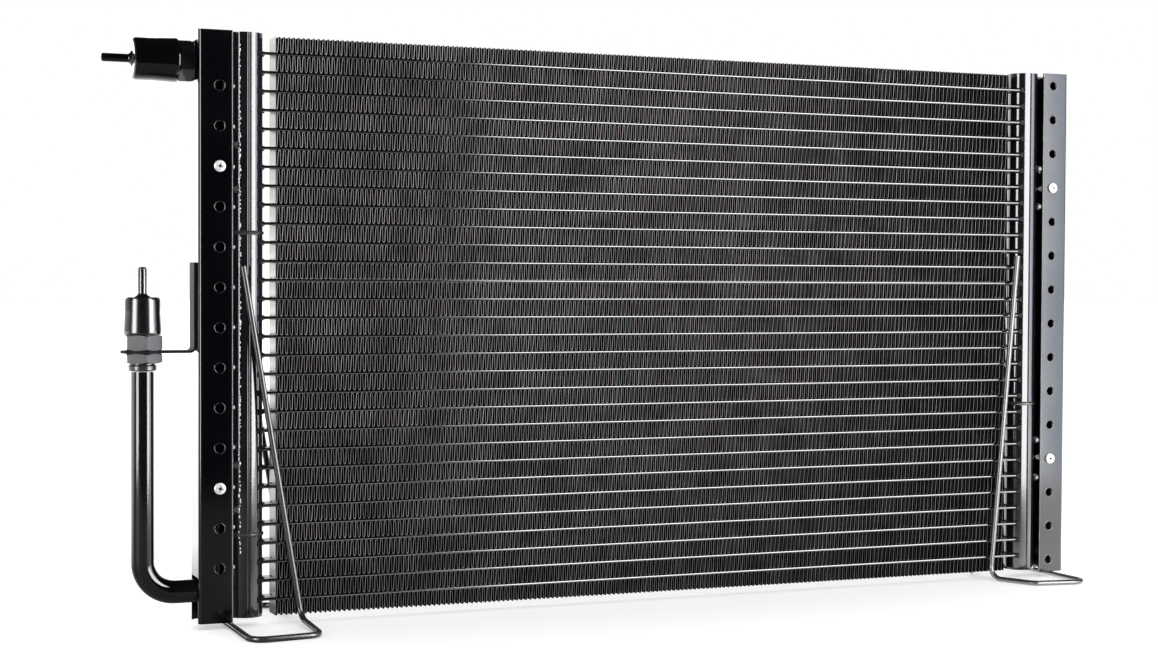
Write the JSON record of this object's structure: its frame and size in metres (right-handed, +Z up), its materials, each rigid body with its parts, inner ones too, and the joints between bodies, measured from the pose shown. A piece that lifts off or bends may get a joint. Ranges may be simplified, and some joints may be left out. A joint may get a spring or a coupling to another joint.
{
  "type": "parallel flow condenser",
  "caption": "Flat finned heat exchanger with round headers at both ends, drilled side channels, two capped pipe fittings on the left and bent wire stands.",
  "frame": {"origin": "on the ground plane under the wire stands, at the centre of the overall box seen from above", "axes": "+X along the tubes, away from the pipe fittings; +Y from the front face to the back face; +Z up"},
  "size_m": [0.715, 0.134, 0.3785],
  "materials": {
    "core_black": "satin",
    "header_black": "gloss",
    "bracket_black": "gloss",
    "cap_black": "gloss",
    "zinc": "bright",
    "stand_black": "satin"
  },
  "bodies": {
    "root": {"tube_and_fin_01": "core_black", "tube_and_fin_02": "core_black", "tube_and_fin_03": "core_black", "tube_and_fin_04": "core_black", "tube_and_fin_05": "core_black", "tube_and_fin_06": "core_black", "tube_and_fin_07": "core_black", "tube_and_fin_08": "core_black", "tube_and_fin_09": "core_black", "tube_and_fin_10": "core_black", "tube_and_fin_11": "core_black", "tube_and_fin_12": "core_black", "tube_and_fin_13": "core_black", "tube_and_fin_14": "core_black", "tube_and_fin_15": "core_black", "tube_and_fin_16": "core_black", "tube_and_fin_17": "core_black", "tube_and_fin_18": "core_black", "tube_and_fin_19": "core_black", "tube_and_fin_20": "core_black", "tube_and_fin_21": "core_black", "tube_and_fin_22": "core_black", "tube_and_fin_23": "core_black", "tube_and_fin_24": "core_black", "tube_and_fin_25": "core_black", "tube_and_fin_26": "core_black", "tube_and_fin_27": "core_black", "tube_and_fin_28": "core_black", "tube_and_fin_29": "core_black", "tube_and_fin_30": "core_black", "left_header_plate": "header_black", "left_header_tank": "header_black", "left_top_end_cap": "header_black", "left_bottom_end_cap": "header_black", "left_upper_baffle": "header_black", "left_lower_baffle": "header_black", "right_header_plate": "header_black", "right_header_tank": "header_black", "right_top_end_cap": "header_black", "right_bottom_end_cap": "header_black", "right_baffle": "header_black", "left_side_bracket": "bracket_black", "right_side_bracket": "bracket_black", "left_upper_clip": "header_black", "left_lower_clip": "header_black", "right_upper_clip": "header_black", "right_lower_clip": "header_black", "left_upper_screw": "zinc", "left_lower_screw": "zinc", "right_upper_screw": "zinc", "right_lower_screw": "zinc", "inlet_fitting": "header_black", "inlet_cap": "cap_black", "outlet_pipe": "header_black", "outlet_fitting": "header_black", "outlet_nut": "header_black", "outlet_cap": "cap_black", "outlet_bracket_plate": "bracket_black", "left_stand": "stand_black", "right_stand": "stand_black"}
  },
  "joints": []
}
